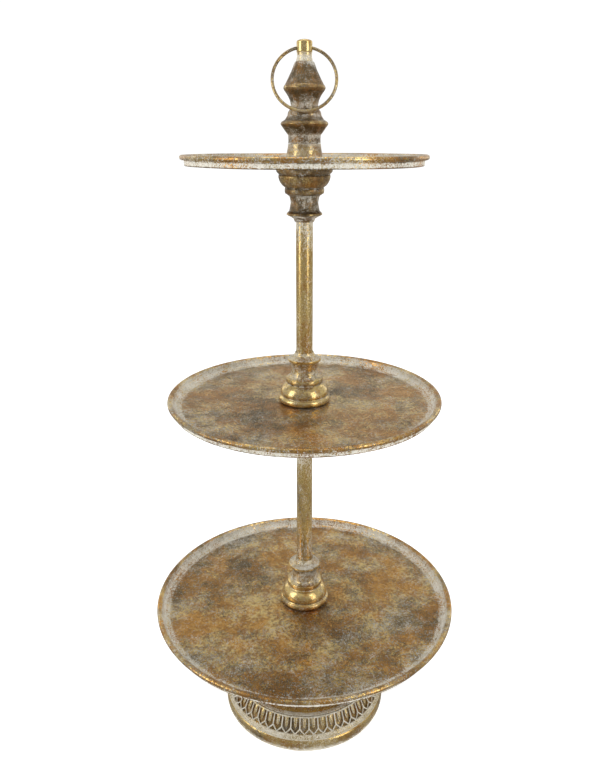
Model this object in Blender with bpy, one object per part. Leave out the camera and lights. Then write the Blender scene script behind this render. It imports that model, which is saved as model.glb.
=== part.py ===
"""Three-tier cake stand: round trays on one column, a pierced foot and a ring handle.

Metres, +Z up. The origin is the centre of the foot on the surface it stands on. The stack is held by
threaded rods along the Z axis, and the only moving piece is the ring, which swings about X.
"""
import math

import bpy
from mathutils import Vector
from mathutils.geometry import intersect_point_line, tessellate_polygon

MM = 0.001

# Fits: the air between touching pieces, and the extra radius of a hole around what passes through it.
SEAT_GAP = 0.3 * MM
BORE_CLEARANCE = 0.3 * MM

# Trays. Each rim is a near-upright wall with an outward rolled bead and a coved inside corner.
TRAY_BOTTOM_R = 177.8 * MM
TRAY_MIDDLE_R = 152.4 * MM
TRAY_TOP_R = 127.0 * MM
TRAY_DEPTH = 11.0 * MM
TRAY_SHEET = 2.0 * MM
TIER_SPACING = 259.3 * MM
BEAD_R = 2.6 * MM
BEAD_OVERHANG = 4.4 * MM
WALL_DRAFT = 0.5 * MM
CORNER_R = 1.9 * MM
COVE_R = 7.7 * MM
COVE_INSET = 14.0 * MM

# Foot: base ring, pierced band on a cone, and a spun pedestal behind and above it.
PEDESTAL_TOP_Z = 133.6 * MM
PEDESTAL_TOP_R = 64.0 * MM
PEDESTAL_SHEET = 1.8 * MM
PEDESTAL_PLATE_DROP = 5.6 * MM
NECK_R = 32.0 * MM
TRUMPET_RISE = 7.1 * MM
BASE_R = 98.5 * MM
BASE_HEIGHT = 14.4 * MM
BASE_WIDTH = 6.0 * MM
BASE_BULGE_R = 30.0 * MM
BASE_CHAMFER = 1.5 * MM
BAND_SETBACK = 1.1 * MM
BAND_FLARE = 11.2 * MM
BAND_RISE = 23.6 * MM
BAND_SHEET = 1.4 * MM
SHOULDER_WIDTH = 5.6 * MM
SHOULDER_RISE = 0.9 * MM
SCOTIA_R = 9.0 * MM
TRUMPET_START = 120.0
TRUMPET_END = 238.0

# Pierced band pattern: one unit is a pointed opening with a tongue hanging in it, and half of a
# triangle on either side. Widths are shares of the unit, lengths run down the slope from the top edge.
BAND_UNITS = 54
BAR_SHARE = 0.16
SLOT_SHARE = 0.24
TONGUE_TAPER_SHARE = 0.04
TRIANGLE_HALF_SHARE = 0.40
SLOT_TOP = 1.8 * MM
TONGUE_SHOULDER = 8.0 * MM
TONGUE_TIP = 10.9 * MM
LANCET_SHOULDER = 12.9 * MM
LANCET_TIP = 17.7 * MM
TRIANGLE_APEX = 13.7 * MM
TRIANGLE_BASE = 18.3 * MM

# Column: tubes held in bell collars, which turn upside down under a tray.
TUBE_R = 9.1 * MM
TUBE_WALL = 1.2 * MM
COLLAR_HEIGHT = 57.0 * MM
COLLAR_CONE = 8.0 * MM
COLLAR_BASE_R = 29.3 * MM
COLLAR_BEAD_R = 4.0 * MM
COLLAR_BULGE_R = 27.1 * MM
COLLAR_BULGE_ARC_R = 14.1 * MM
COLLAR_BULGE_Z = 9.5 * MM
COLLAR_STEP_R = 20.6 * MM
COLLAR_STEP_Z = 22.3 * MM
COLLAR_STEP_TOP_Z = 27.8 * MM
COLLAR_NECK_R = 14.5 * MM
COLLAR_FLANGE_R = 18.8 * MM
COLLAR_FLANGE_EDGE = 1.6 * MM
COLLAR_LIP = 0.9 * MM
COLLAR_WALL = 3.0 * MM
COLLAR_POCKET_R = 12.0 * MM
COLLAR_FLOOR_Z = 27.6 * MM
SOCKET_Z = 31.0 * MM

# Finial and ring handle.
SEAT_R = 21.5 * MM
SEAT_HEIGHT = 19.4 * MM
SEAT_FLARE_R = 2.5 * MM
SEAT_WALL = 6.0 * MM
FINIAL_STEM_R = 16.6 * MM
FINIAL_BODY_HEIGHT = 77.5 * MM
LOWER_EDGE_R = 24.4 * MM
LOWER_EDGE_Z = 18.9 * MM
UPPER_EDGE_R = 21.3 * MM
UPPER_EDGE_Z = 52.8 * MM
EDGE_ROUND_R = 1.5 * MM
WAIST_R = 13.9 * MM
WAIST_Z = 37.2 * MM
FINIAL_TOP_R = 9.9 * MM
KNOB_R = 7.9 * MM
KNOB_NECK_R = 7.4 * MM
KNOB_HEIGHT = 20.7 * MM
KNOB_DOME = 2.4 * MM
KNOB_FLARE = 0.9 * MM
RING_MEAN_R = 31.8 * MM
RING_WIRE_R = 1.6 * MM
RING_AXIS_DROP = 7.7 * MM
RING_AXIS_RISE = 3.8 * MM

# Rods, nuts and washers, to M8 sizes.
ROD_R = 4.0 * MM
NUT_FLATS = 13.0 * MM
NUT_HEIGHT = 6.5 * MM
COUPLING_HEIGHT = 24.0 * MM
TIER_WASHER_R = 12.0 * MM
BASE_WASHER_R = 18.0 * MM
WASHER_SHEET = 2.0 * MM
SPRING_WASHER_R = 7.4 * MM
SPRING_WASHER_SHEET = 2.0 * MM
SPRING_SLIT = 1.5 * MM
ROD_TAIL = 7.0 * MM
ROD_IN_FINIAL = 30.0 * MM
DRILL_OVERRUN = 2.0 * MM

# Facets round each kind of turned piece.
TRAY_SIDES = 48
BASE_SIDES = 48
COLUMN_SIDES = 24
ROD_SIDES = 12
RING_SIDES = 48
WIRE_SIDES = 8

BRIGHT_BRASS = ("bright_brass", (0.62, 0.43, 0.14), 0.28, 1.0)
AGED_BRASS = ("aged_brass", (0.40, 0.28, 0.13), 0.42, 1.0)
WASHED_BRASS = ("washed_brass", (0.62, 0.58, 0.50), 0.60, 0.4)
PLAIN_STEEL = ("plain_steel", (0.52, 0.52, 0.53), 0.35, 1.0)


def clear_scene():
    for thing in list(bpy.data.objects):
        bpy.data.objects.remove(thing, do_unlink=True)


def material(look):
    name, colour, roughness, metallic = look
    found = bpy.data.materials.get(name)
    if found:
        return found
    made = bpy.data.materials.new(name)
    made.use_nodes = True
    shader = made.node_tree.nodes["Principled BSDF"]
    shader.inputs["Base Color"].default_value = (*colour, 1.0)
    shader.inputs["Roughness"].default_value = roughness
    shader.inputs["Metallic"].default_value = metallic
    return made


def add_object(name, mesh, look, location=(0.0, 0.0, 0.0)):
    piece = bpy.data.objects.new(name, mesh)
    piece.location = location
    bpy.context.scene.collection.objects.link(piece)
    mesh.materials.append(material(look))
    return piece


def arc(centre_r, centre_z, radius, start, end, steps):
    """Points on a circular arc in the (radius, height) plane, angles in degrees, both ends kept."""
    points = []
    for step in range(steps + 1):
        angle = math.radians(start + (end - start) * step / steps)
        points.append((centre_r + radius * math.cos(angle), centre_z + radius * math.sin(angle)))
    return points


def turned(name, outline, sides, look, seat_z=0.0):
    """Turn an outline about Z. It runs down the outer side first, and closes unless it meets the axis."""
    on_axis = outline[0][0] == 0.0 and outline[-1][0] == 0.0
    edges = [(index, index + 1) for index in range(len(outline) - 1)]
    if not on_axis:
        edges.append((len(outline) - 1, 0))
    mesh = bpy.data.meshes.new(name)
    mesh.from_pydata([(radius, 0.0, height) for radius, height in outline], edges, [])
    piece = add_object(name, mesh, look, (0.0, 0.0, seat_z))
    screw = piece.modifiers.new("Turn", "SCREW")
    screw.axis = "Z"
    screw.angle = math.tau
    screw.steps = sides
    screw.render_steps = sides
    screw.use_merge_vertices = True
    screw.merge_threshold = 0.00001
    screw.use_smooth_shade = True
    return piece


def prism(name, across_flats, height, hole_r, look, seat_z):
    """Hexagonal nut with a round hole, standing on seat_z."""
    outer = [hex_point(across_flats, index) for index in range(6)]
    inner = [circle_point(hole_r, index, ROD_SIDES) for index in range(ROD_SIDES)]
    mesh = extrude_with_hole(name, outer, inner, height)
    return add_object(name, mesh, look, (0.0, 0.0, seat_z))


def hex_point(across_flats, index):
    angle = math.radians(60.0 * index)
    corner_r = across_flats / math.sqrt(3.0)
    return (corner_r * math.cos(angle), corner_r * math.sin(angle))


def circle_point(radius, index, sides):
    angle = math.tau * index / sides
    return (radius * math.cos(angle), radius * math.sin(angle))


def extrude_with_hole(name, outer, inner, height):
    """Closed solid between an outer and an inner loop, both anticlockwise from above."""
    flat = [Vector((x, y, 0.0)) for x, y in outer + inner]
    loops = [flat[:len(outer)], flat[len(outer):]]
    vertices = [tuple(point) for point in flat] + [(point.x, point.y, height) for point in flat]
    lift = len(flat)
    faces = []
    for corners in tessellate_polygon(loops):
        a, b, c = upward(flat, corners)
        faces.append((a + lift, b + lift, c + lift))
        faces.append((c, b, a))
    faces += side_quads(range(len(outer)), lift, outward=True)
    faces += side_quads(range(len(outer), lift), lift, outward=False)
    mesh = bpy.data.meshes.new(name)
    mesh.from_pydata(vertices, [], faces)
    return mesh


def upward(points, corners):
    """The triangle's corners in the order that faces +Z."""
    a, b, c = corners
    normal = (points[b] - points[a]).cross(points[c] - points[a])
    return (a, b, c) if normal.z > 0.0 else (a, c, b)


def side_quads(loop, lift, outward):
    loop = list(loop)
    quads = []
    for here, there in zip(loop, loop[1:] + loop[:1]):
        quad = (here, there, there + lift, here + lift)
        quads.append(quad if outward else quad[::-1])
    return quads


def cut(piece, cutter):
    """Take the cutter out of the piece, and leave the cutter as a hidden guide."""
    cutter.hide_render = True
    cutter.display_type = "WIRE"
    boolean = piece.modifiers.new("Cut", "BOOLEAN")
    boolean.operation = "DIFFERENCE"
    boolean.solver = "EXACT"
    boolean.object = cutter


# Heights along the column, all from the tray sizes and the seats between them.
PEDESTAL_HOLE_R = ROD_R + BORE_CLEARANCE
TRAY_BOTTOM_TOP_Z = PEDESTAL_TOP_Z + SEAT_GAP + TRAY_DEPTH
TRAY_MIDDLE_TOP_Z = TRAY_BOTTOM_TOP_Z + TIER_SPACING
TRAY_TOP_TOP_Z = TRAY_MIDDLE_TOP_Z + TIER_SPACING


def tray_floor_z(rim_top_z):
    return rim_top_z - TRAY_DEPTH + TRAY_SHEET


def tray_outline(radius):
    """Rim and floor of a tray, with the rim's top at height 0."""
    bead_r = radius - BEAD_R
    wall_r = radius - BEAD_OVERHANG
    corner_r = wall_r - WALL_DRAFT - CORNER_R
    cove_r = radius - COVE_INSET
    floor_z = -TRAY_DEPTH + TRAY_SHEET
    cove_arc_r = min(COVE_R, -floor_z - 0.5 * BEAD_R)
    outline = arc(bead_r, -BEAD_R, BEAD_R, 130.0, -125.0, 6)
    outline += arc(corner_r, -TRAY_DEPTH + CORNER_R, CORNER_R, 0.0, -90.0, 1)
    outline.append((ROD_R + BORE_CLEARANCE, -TRAY_DEPTH))
    outline.append((ROD_R + BORE_CLEARANCE, floor_z))
    outline += arc(cove_r, floor_z + cove_arc_r, cove_arc_r, -90.0, 0.0, 3)
    return outline


def make_tray(name, radius, rim_top_z):
    return turned(name, tray_outline(radius), TRAY_SIDES, AGED_BRASS, rim_top_z)


def collar_outline():
    """Bell collar, from the seat at height 0 to the lip round the tube. Hollow below its inner floor."""
    socket_r = TUBE_R + BORE_CLEARANCE
    lip_r = socket_r + COLLAR_LIP
    flange_z = COLLAR_HEIGHT - COLLAR_CONE
    half_edge = 0.5 * COLLAR_FLANGE_EDGE
    neck_top_z = flange_z - 0.5 * COLLAR_CONE
    neck_z = 0.5 * (COLLAR_STEP_TOP_Z + neck_top_z)
    bulge_centre_r = COLLAR_BULGE_R - COLLAR_BULGE_ARC_R
    bead_centre_r = COLLAR_BASE_R - COLLAR_BEAD_R
    outline = [(lip_r, COLLAR_HEIGHT), (lip_r + 2.2 * MM, COLLAR_HEIGHT - 0.4 * COLLAR_CONE)]
    outline.append((COLLAR_FLANGE_R, flange_z + half_edge))
    outline.append((COLLAR_FLANGE_R - 0.2 * MM, flange_z - half_edge))
    outline.append((COLLAR_NECK_R + 1.6 * MM, neck_top_z))
    outline.append((COLLAR_NECK_R, neck_z))
    outline.append((COLLAR_NECK_R + 0.8 * MM, 0.5 * (neck_z + COLLAR_STEP_TOP_Z)))
    outline.append((COLLAR_STEP_R - 1.3 * MM, COLLAR_STEP_TOP_Z))
    outline.append((COLLAR_STEP_R, COLLAR_STEP_Z))
    outline += arc(bulge_centre_r, COLLAR_BULGE_Z, COLLAR_BULGE_ARC_R, 57.0, 0.0, 3)
    outline += arc(bead_centre_r, COLLAR_BEAD_R, COLLAR_BEAD_R, 58.0, -62.0, 3)
    outline.append((bead_centre_r + 0.6 * MM, 0.0))
    hollow_r = bead_centre_r - COLLAR_WALL
    outline.append((hollow_r, 0.0))
    outline.append((hollow_r, COLLAR_BULGE_Z))
    outline.append((COLLAR_POCKET_R, COLLAR_FLOOR_Z))
    outline.append((ROD_R + BORE_CLEARANCE, COLLAR_FLOOR_Z))
    outline.append((ROD_R + BORE_CLEARANCE, SOCKET_Z))
    outline.append((socket_r, SOCKET_Z))
    outline.append((socket_r, COLLAR_HEIGHT))
    return outline


def make_collar(name, tray_face_z, upright):
    """A collar on a tray's floor, or upside down against its underside."""
    seat_z = tray_face_z + SEAT_GAP if upright else tray_face_z - SEAT_GAP
    collar = turned(name, collar_outline(), COLUMN_SIDES, WASHED_BRASS, seat_z)
    if not upright:
        collar.rotation_euler = (math.pi, 0.0, 0.0)
    return collar


def make_tube(name, lower_floor_z, upper_underside_z):
    """Tube between the sockets of an upright collar and of the upside-down one above it."""
    bottom_z = lower_floor_z + SEAT_GAP + SOCKET_Z + SEAT_GAP
    top_z = upper_underside_z - SEAT_GAP - SOCKET_Z - SEAT_GAP
    length = top_z - bottom_z
    bore_r = TUBE_R - TUBE_WALL
    outline = [(TUBE_R, length), (TUBE_R, 0.0), (bore_r, 0.0), (bore_r, length)]
    return turned(name, outline, COLUMN_SIDES, WASHED_BRASS, bottom_z)


def make_rod(name, bottom_z, top_z):
    outline = [(0.0, top_z - bottom_z), (ROD_R, top_z - bottom_z), (ROD_R, 0.0), (0.0, 0.0)]
    return turned(name, outline, ROD_SIDES, PLAIN_STEEL, bottom_z)


def make_washer(name, radius, sheet, bottom_z):
    hole_r = ROD_R + BORE_CLEARANCE
    outline = [(radius, sheet), (radius, 0.0), (hole_r, 0.0), (hole_r, sheet)]
    return turned(name, outline, ROD_SIDES, PLAIN_STEEL, bottom_z)


# Foot: the band and the shoulder follow the base ring.
BAND_BOTTOM_Z = BASE_HEIGHT + SEAT_GAP
BAND_TOP_Z = BAND_BOTTOM_Z + BAND_RISE
BAND_BOTTOM_R = BASE_R - BAND_SETBACK
BAND_TOP_R = BAND_BOTTOM_R - BAND_FLARE
SHOULDER_R = BAND_TOP_R - SHOULDER_WIDTH


def band_length():
    return math.hypot(BAND_BOTTOM_R - BAND_TOP_R, BAND_TOP_Z - BAND_BOTTOM_Z)


def band_section(length, inward):
    """Radius and height of a point down the slope, moved square to the slope by an inward distance."""
    share = length / band_length()
    level_inset = inward * band_length() / (BAND_TOP_Z - BAND_BOTTOM_Z)
    radius = BAND_TOP_R + share * (BAND_BOTTOM_R - BAND_TOP_R) - level_inset
    return radius, BAND_TOP_Z + share * (BAND_BOTTOM_Z - BAND_TOP_Z)


def make_base_ring():
    bulge_centre_r = BASE_R - BASE_BULGE_R
    edge = math.degrees(math.asin(0.46 * BASE_HEIGHT / BASE_BULGE_R))
    outline = [(BASE_R - BASE_CHAMFER, BASE_HEIGHT)]
    outline += arc(bulge_centre_r, 0.5 * BASE_HEIGHT, BASE_BULGE_R, edge, -edge, 4)
    outline.append((BASE_R - BASE_CHAMFER, 0.0))
    outline.append((BASE_R - BASE_WIDTH, 0.0))
    outline.append((BASE_R - BASE_WIDTH, BASE_HEIGHT))
    return turned("foot_base_ring", outline, BASE_SIDES, AGED_BRASS)


def band_unit():
    """Outer loop and opening of one unit, as (share across the unit, length down the slope)."""
    length = band_length()
    half_bar = 0.5 * BAR_SHARE
    tongue = half_bar + SLOT_SHARE
    tip = tongue + TONGUE_TAPER_SHARE
    outer = [(0.0, 0.0), (0.0, TRIANGLE_APEX), (TRIANGLE_HALF_SHARE, TRIANGLE_BASE)]
    outer += [(0.0, TRIANGLE_BASE), (0.0, length), (1.0, length), (1.0, TRIANGLE_BASE)]
    outer += [(1.0 - TRIANGLE_HALF_SHARE, TRIANGLE_BASE), (1.0, TRIANGLE_APEX), (1.0, 0.0)]
    opening = [(half_bar, SLOT_TOP), (half_bar, LANCET_SHOULDER), (0.5, LANCET_TIP)]
    opening += [(1.0 - half_bar, LANCET_SHOULDER), (1.0 - half_bar, SLOT_TOP)]
    opening += [(1.0 - tongue, SLOT_TOP), (1.0 - tip, TONGUE_SHOULDER), (0.5, TONGUE_TIP)]
    opening += [(tip, TONGUE_SHOULDER), (tongue, SLOT_TOP)]
    return outer, opening


def band_point(share, length, inward, unit):
    """A point of the band: across a flat facet, down the slope and in from the outer face."""
    radius, height = band_section(length, inward)
    start = math.tau * unit / BAND_UNITS
    end = math.tau * (unit + 1) / BAND_UNITS
    left = Vector((math.cos(start), math.sin(start)))
    right = Vector((math.cos(end), math.sin(end)))
    across = left.lerp(right, share) * radius
    return (across.x, across.y, height)


def unit_walls(outer, opening):
    """Edges of one unit that carry a wall through the sheet: all but the seams to the next unit."""
    edges = []
    for here in range(len(outer)):
        there = (here + 1) % len(outer)
        seam = outer[here][0] == outer[there][0] and outer[here][0] in (0.0, 1.0)
        if not seam:
            edges.append((there, here))
    for step in range(len(opening)):
        edges.append((len(outer) + step, len(outer) + (step + 1) % len(opening)))
    return edges


def make_gallery():
    """The pierced band: every unit tessellated on both faces, with walls round the openings."""
    outer, opening = band_unit()
    shape = outer + opening
    flat = [Vector((share, -length / BAND_TOP_R, 0.0)) for share, length in shape]
    triangles = [upward(flat, corners) for corners in
                 tessellate_polygon([flat[:len(outer)], flat[len(outer):]])]
    count = len(shape)
    walls = unit_walls(outer, opening)
    vertices = []
    faces = []
    for unit in range(BAND_UNITS):
        base = len(vertices)
        vertices += [band_point(share, length, 0.0, unit) for share, length in shape]
        vertices += [band_point(share, length, BAND_SHEET, unit) for share, length in shape]
        for a, b, c in triangles:
            faces.append((base + a, base + b, base + c))
            faces.append((base + count + c, base + count + b, base + count + a))
        for here, there in walls:
            faces.append((base + here, base + there, base + count + there, base + count + here))
    mesh = bpy.data.meshes.new("foot_gallery")
    mesh.from_pydata(vertices, [], faces)
    return add_object("foot_gallery", mesh, WASHED_BRASS)


def make_pedestal():
    """Spun shell: skirt behind the band, shoulder, scotia, trumpet neck and a flat top plate.

    The trumpet is one arc, sized to run from just above the scotia to just under the plate.
    """
    behind = BAND_SHEET + SEAT_GAP
    skirt_top_r, skirt_top_z = band_section(0.0, behind)
    scotia_z = BAND_TOP_Z + SHOULDER_RISE + SCOTIA_R
    scotia = arc(SHOULDER_R, scotia_z, SCOTIA_R, -150.0, -90.0, 3)
    low_z = scotia[0][1] + TRUMPET_RISE
    high_z = PEDESTAL_TOP_Z - PEDESTAL_PLATE_DROP
    upper = math.radians(180.0 - TRUMPET_START)
    lower = math.radians(TRUMPET_END - 180.0)
    trumpet_arc_r = (high_z - low_z) / (math.sin(upper) + math.sin(lower))
    trumpet_r = NECK_R + trumpet_arc_r
    neck_z = high_z - trumpet_arc_r * math.sin(upper)
    outline = [(PEDESTAL_TOP_R, PEDESTAL_TOP_Z), (PEDESTAL_TOP_R, PEDESTAL_TOP_Z - PEDESTAL_SHEET)]
    outline += arc(trumpet_r, neck_z, trumpet_arc_r, TRUMPET_START, TRUMPET_END, 6)
    outline += scotia
    outline.append((skirt_top_r - 0.5 * MM, skirt_top_z + SHOULDER_RISE - 0.3 * MM))
    outline.append((skirt_top_r, skirt_top_z))
    outline.append(band_section(band_length(), behind))
    outline.append(band_section(band_length(), behind + PEDESTAL_SHEET))
    outline.append(band_section(PEDESTAL_SHEET, behind + PEDESTAL_SHEET))
    outline += arc(SHOULDER_R, scotia_z, SCOTIA_R + PEDESTAL_SHEET, -95.0, -150.0, 2)
    outline += arc(trumpet_r, neck_z, trumpet_arc_r + PEDESTAL_SHEET, TRUMPET_END, TRUMPET_START, 5)
    outline.append((outline[-1][0] - PEDESTAL_SHEET, PEDESTAL_TOP_Z - PEDESTAL_SHEET))
    outline.append((PEDESTAL_HOLE_R, PEDESTAL_TOP_Z - PEDESTAL_SHEET))
    outline.append((PEDESTAL_HOLE_R, PEDESTAL_TOP_Z))
    return turned("foot_pedestal", outline, BAND_UNITS, AGED_BRASS)


# Finial and ring handle.
FINIAL_SEAT_Z = tray_floor_z(TRAY_TOP_TOP_Z) + SEAT_GAP
FINIAL_BODY_Z = FINIAL_SEAT_Z + SEAT_HEIGHT + SEAT_GAP
KNOB_Z = FINIAL_BODY_Z + FINIAL_BODY_HEIGHT + SEAT_GAP
RING_AXIS_Z = KNOB_Z + KNOB_HEIGHT - RING_AXIS_DROP


def make_finial_seat():
    """Flared foot of the finial, hollow underneath, bored for the rod."""
    pocket_r = SEAT_R - SEAT_WALL
    pocket_z = SEAT_HEIGHT - SEAT_WALL
    outline = [(FINIAL_STEM_R + 0.2 * MM, SEAT_HEIGHT), (FINIAL_STEM_R + 0.5 * MM, SEAT_HEIGHT - 4.0 * MM)]
    outline.append((FINIAL_STEM_R + 1.5 * MM, SEAT_HEIGHT - 9.0 * MM))
    outline += arc(SEAT_R - SEAT_FLARE_R, SEAT_FLARE_R, SEAT_FLARE_R, 90.0, -60.0, 4)
    outline += [(SEAT_R - SEAT_FLARE_R, 0.0), (pocket_r, 0.0), (0.8 * pocket_r, pocket_z)]
    outline += [(ROD_R + BORE_CLEARANCE, pocket_z), (ROD_R + BORE_CLEARANCE, SEAT_HEIGHT)]
    return turned("finial_seat", outline, COLUMN_SIDES, WASHED_BRASS, FINIAL_SEAT_Z)


def finial_outline():
    """Outer side of the finial's body, top to bottom: upper cone, waist, lower cone and stem."""
    cone = FINIAL_BODY_HEIGHT - UPPER_EDGE_Z
    outline = [(FINIAL_TOP_R, FINIAL_BODY_HEIGHT)]
    outline.append((UPPER_EDGE_R - 7.0 * MM, UPPER_EDGE_Z + 0.55 * cone))
    outline.append((UPPER_EDGE_R - 3.3 * MM, UPPER_EDGE_Z + 0.24 * cone))
    outline += arc(UPPER_EDGE_R - EDGE_ROUND_R, UPPER_EDGE_Z, EDGE_ROUND_R, 55.0, -50.0, 3)
    outline.append((WAIST_R + 3.6 * MM, UPPER_EDGE_Z - 5.0 * MM))
    outline.append((WAIST_R + 0.9 * MM, WAIST_Z + 4.6 * MM))
    outline.append((WAIST_R, WAIST_Z))
    outline.append((WAIST_R + 0.4 * MM, WAIST_Z - 3.4 * MM))
    outline.append((WAIST_R + 2.7 * MM, WAIST_Z - 6.8 * MM))
    outline.append((WAIST_R + 3.4 * MM, WAIST_Z - 9.6 * MM))
    outline += arc(LOWER_EDGE_R - EDGE_ROUND_R, LOWER_EDGE_Z, EDGE_ROUND_R, 60.0, -45.0, 3)
    outline.append((FINIAL_STEM_R + 0.5 * MM, 0.47 * LOWER_EDGE_Z))
    outline.append((FINIAL_STEM_R, 0.37 * LOWER_EDGE_Z))
    outline.append((FINIAL_STEM_R, 0.0))
    return outline


def make_finial_body():
    """The double cone as one turning, with a blind bore for the rod."""
    bore_r = ROD_R + BORE_CLEARANCE
    bore_depth = ROD_IN_FINIAL + SEAT_GAP
    outline = [(0.0, FINIAL_BODY_HEIGHT)] + finial_outline()
    outline += [(bore_r, 0.0), (bore_r, bore_depth), (0.0, bore_depth)]
    return turned("finial_body", outline, COLUMN_SIDES, WASHED_BRASS, FINIAL_BODY_Z)


def ring_sagitta():
    """How far the ring's centreline bows inside the knob."""
    return RING_MEAN_R - math.sqrt(RING_MEAN_R ** 2 - KNOB_R ** 2)


def ring_centreline(lean, steps):
    """Points of the ring's centreline in the stand's frame, for a ring leaning towards -Y."""
    top = 0.5 * ring_sagitta()
    for step in range(steps):
        around = math.tau * step / steps
        drop = RING_MEAN_R * (1.0 - math.cos(around)) - top
        across = RING_MEAN_R * math.sin(around)
        yield Vector((across, -drop * math.sin(lean), RING_AXIS_Z - drop * math.cos(lean)))


def outline_distance(radius, height, outline):
    """Distance in the (radius, height) plane from a point to a run of straight pieces."""
    point = Vector((radius, height))
    nearest = math.inf
    for start, end in zip(outline, outline[1:]):
        foot, share = intersect_point_line(point, Vector(start), Vector(end))
        foot = Vector(start).lerp(Vector(end), min(max(share, 0.0), 1.0))
        nearest = min(nearest, (point - foot).length)
    return nearest


def ring_lean():
    """The steepest lean, in tenths of a degree, that leaves the wire its gap to the finial's body."""
    outline = finial_outline()
    reach = RING_WIRE_R + SEAT_GAP
    tenths = 600
    while tenths > 1:
        lean = math.radians(0.1 * (tenths - 1))
        for point in ring_centreline(lean, 96):
            height = point.z - FINIAL_BODY_Z
            if height < FINIAL_BODY_HEIGHT - reach:
                if outline_distance(math.hypot(point.x, point.y), height, outline) < reach:
                    return math.radians(0.1 * tenths)
        tenths -= 1
    return 0.0


def make_knob():
    """Neck and bright cylinder with a domed end, and the cross hole that the ring swings in."""
    shoulder_z = KNOB_HEIGHT - RING_AXIS_DROP - RING_AXIS_RISE
    outline = [(0.0, KNOB_HEIGHT), (0.55 * KNOB_R, KNOB_HEIGHT - 0.12 * KNOB_DOME)]
    outline += [(0.87 * KNOB_R, KNOB_HEIGHT - 0.42 * KNOB_DOME), (KNOB_R, KNOB_HEIGHT - KNOB_DOME)]
    outline += [(KNOB_R, shoulder_z), (KNOB_NECK_R, 0.85 * shoulder_z), (KNOB_NECK_R, 0.46 * shoulder_z)]
    outline += [(KNOB_R + 0.7 * KNOB_FLARE, 0.07 * shoulder_z), (KNOB_R + KNOB_FLARE, 0.0), (0.0, 0.0)]
    knob = turned("finial_knob", outline, COLUMN_SIDES, BRIGHT_BRASS, KNOB_Z)
    hole_r = RING_WIRE_R + 0.5 * ring_sagitta() + BORE_CLEARANCE
    reach = KNOB_R + DRILL_OVERRUN
    drill = turned("knob_drill", [(0.0, reach), (hole_r, reach), (hole_r, -reach), (0.0, -reach)],
                   ROD_SIDES, PLAIN_STEEL, RING_AXIS_Z)
    drill.rotation_euler = (0.0, 0.5 * math.pi, 0.0)
    cut(knob, drill)
    return knob


def make_ring_handle():
    """Wire ring. It turns about X through the knob, halfway down its bow, and leans on the finial."""
    top = 0.5 * ring_sagitta()
    vertices = []
    for step in range(RING_SIDES):
        around = math.tau * step / RING_SIDES
        outwards = Vector((math.sin(around), 0.0, math.cos(around)))
        for side in range(WIRE_SIDES):
            turn = math.tau * side / WIRE_SIDES
            radius = RING_MEAN_R + RING_WIRE_R * math.cos(turn)
            point = outwards * radius + Vector((0.0, RING_WIRE_R * math.sin(turn), top - RING_MEAN_R))
            vertices.append(tuple(point))
    faces = []
    for step in range(RING_SIDES):
        for side in range(WIRE_SIDES):
            here = step * WIRE_SIDES
            there = (step + 1) % RING_SIDES * WIRE_SIDES
            nxt = (side + 1) % WIRE_SIDES
            faces.append((here + side, there + side, there + nxt, here + nxt))
    mesh = bpy.data.meshes.new("ring_handle")
    mesh.from_pydata(vertices, [], faces)
    mesh.shade_smooth()
    ring = add_object("ring_handle", mesh, AGED_BRASS, (0.0, 0.0, RING_AXIS_Z))
    ring.rotation_euler = (-ring_lean(), 0.0, 0.0)
    return ring


def make_fasteners():
    """The clamp under the foot's top plate, the joint on the middle tray, and the two rods."""
    washer_z = PEDESTAL_TOP_Z - PEDESTAL_SHEET - SEAT_GAP - WASHER_SHEET
    make_washer("base_washer", BASE_WASHER_R, WASHER_SHEET, washer_z)
    spring_z = washer_z - SEAT_GAP - SPRING_WASHER_SHEET
    spring = make_washer("spring_washer", SPRING_WASHER_R, SPRING_WASHER_SHEET, spring_z)
    slit_mesh = bpy.data.meshes.new("spring_slit")
    half = 0.5 * SPRING_SLIT
    low = -DRILL_OVERRUN
    high = SPRING_WASHER_SHEET + DRILL_OVERRUN
    far = SPRING_WASHER_R + DRILL_OVERRUN
    slit_plan = ((0.0, -half), (far, -half), (far, half), (0.0, half))
    corners = [(x, y, z) for z in (low, high) for x, y in slit_plan]
    slit_mesh.from_pydata(corners, [], [(3, 2, 1, 0), (4, 5, 6, 7), (0, 1, 5, 4),
                                        (1, 2, 6, 5), (2, 3, 7, 6), (3, 0, 4, 7)])
    slit = add_object("spring_slit", slit_mesh, PLAIN_STEEL, (0.0, 0.0, spring_z))
    cut(spring, slit)
    nut_z = spring_z - SEAT_GAP - NUT_HEIGHT
    hole_r = ROD_R + BORE_CLEARANCE
    prism("base_nut", NUT_FLATS, NUT_HEIGHT, hole_r, PLAIN_STEEL, nut_z)
    tier_z = tray_floor_z(TRAY_MIDDLE_TOP_Z) + SEAT_GAP
    make_washer("tier_washer", TIER_WASHER_R, WASHER_SHEET, tier_z)
    coupling_z = tier_z + WASHER_SHEET + SEAT_GAP
    prism("coupling_nut", NUT_FLATS, COUPLING_HEIGHT, hole_r, PLAIN_STEEL, coupling_z)
    meeting_z = coupling_z + 0.5 * COUPLING_HEIGHT
    make_rod("tie_rod_lower", nut_z - ROD_TAIL, meeting_z - 0.5 * SEAT_GAP)
    make_rod("tie_rod_upper", meeting_z + 0.5 * SEAT_GAP, FINIAL_BODY_Z + ROD_IN_FINIAL)


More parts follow.
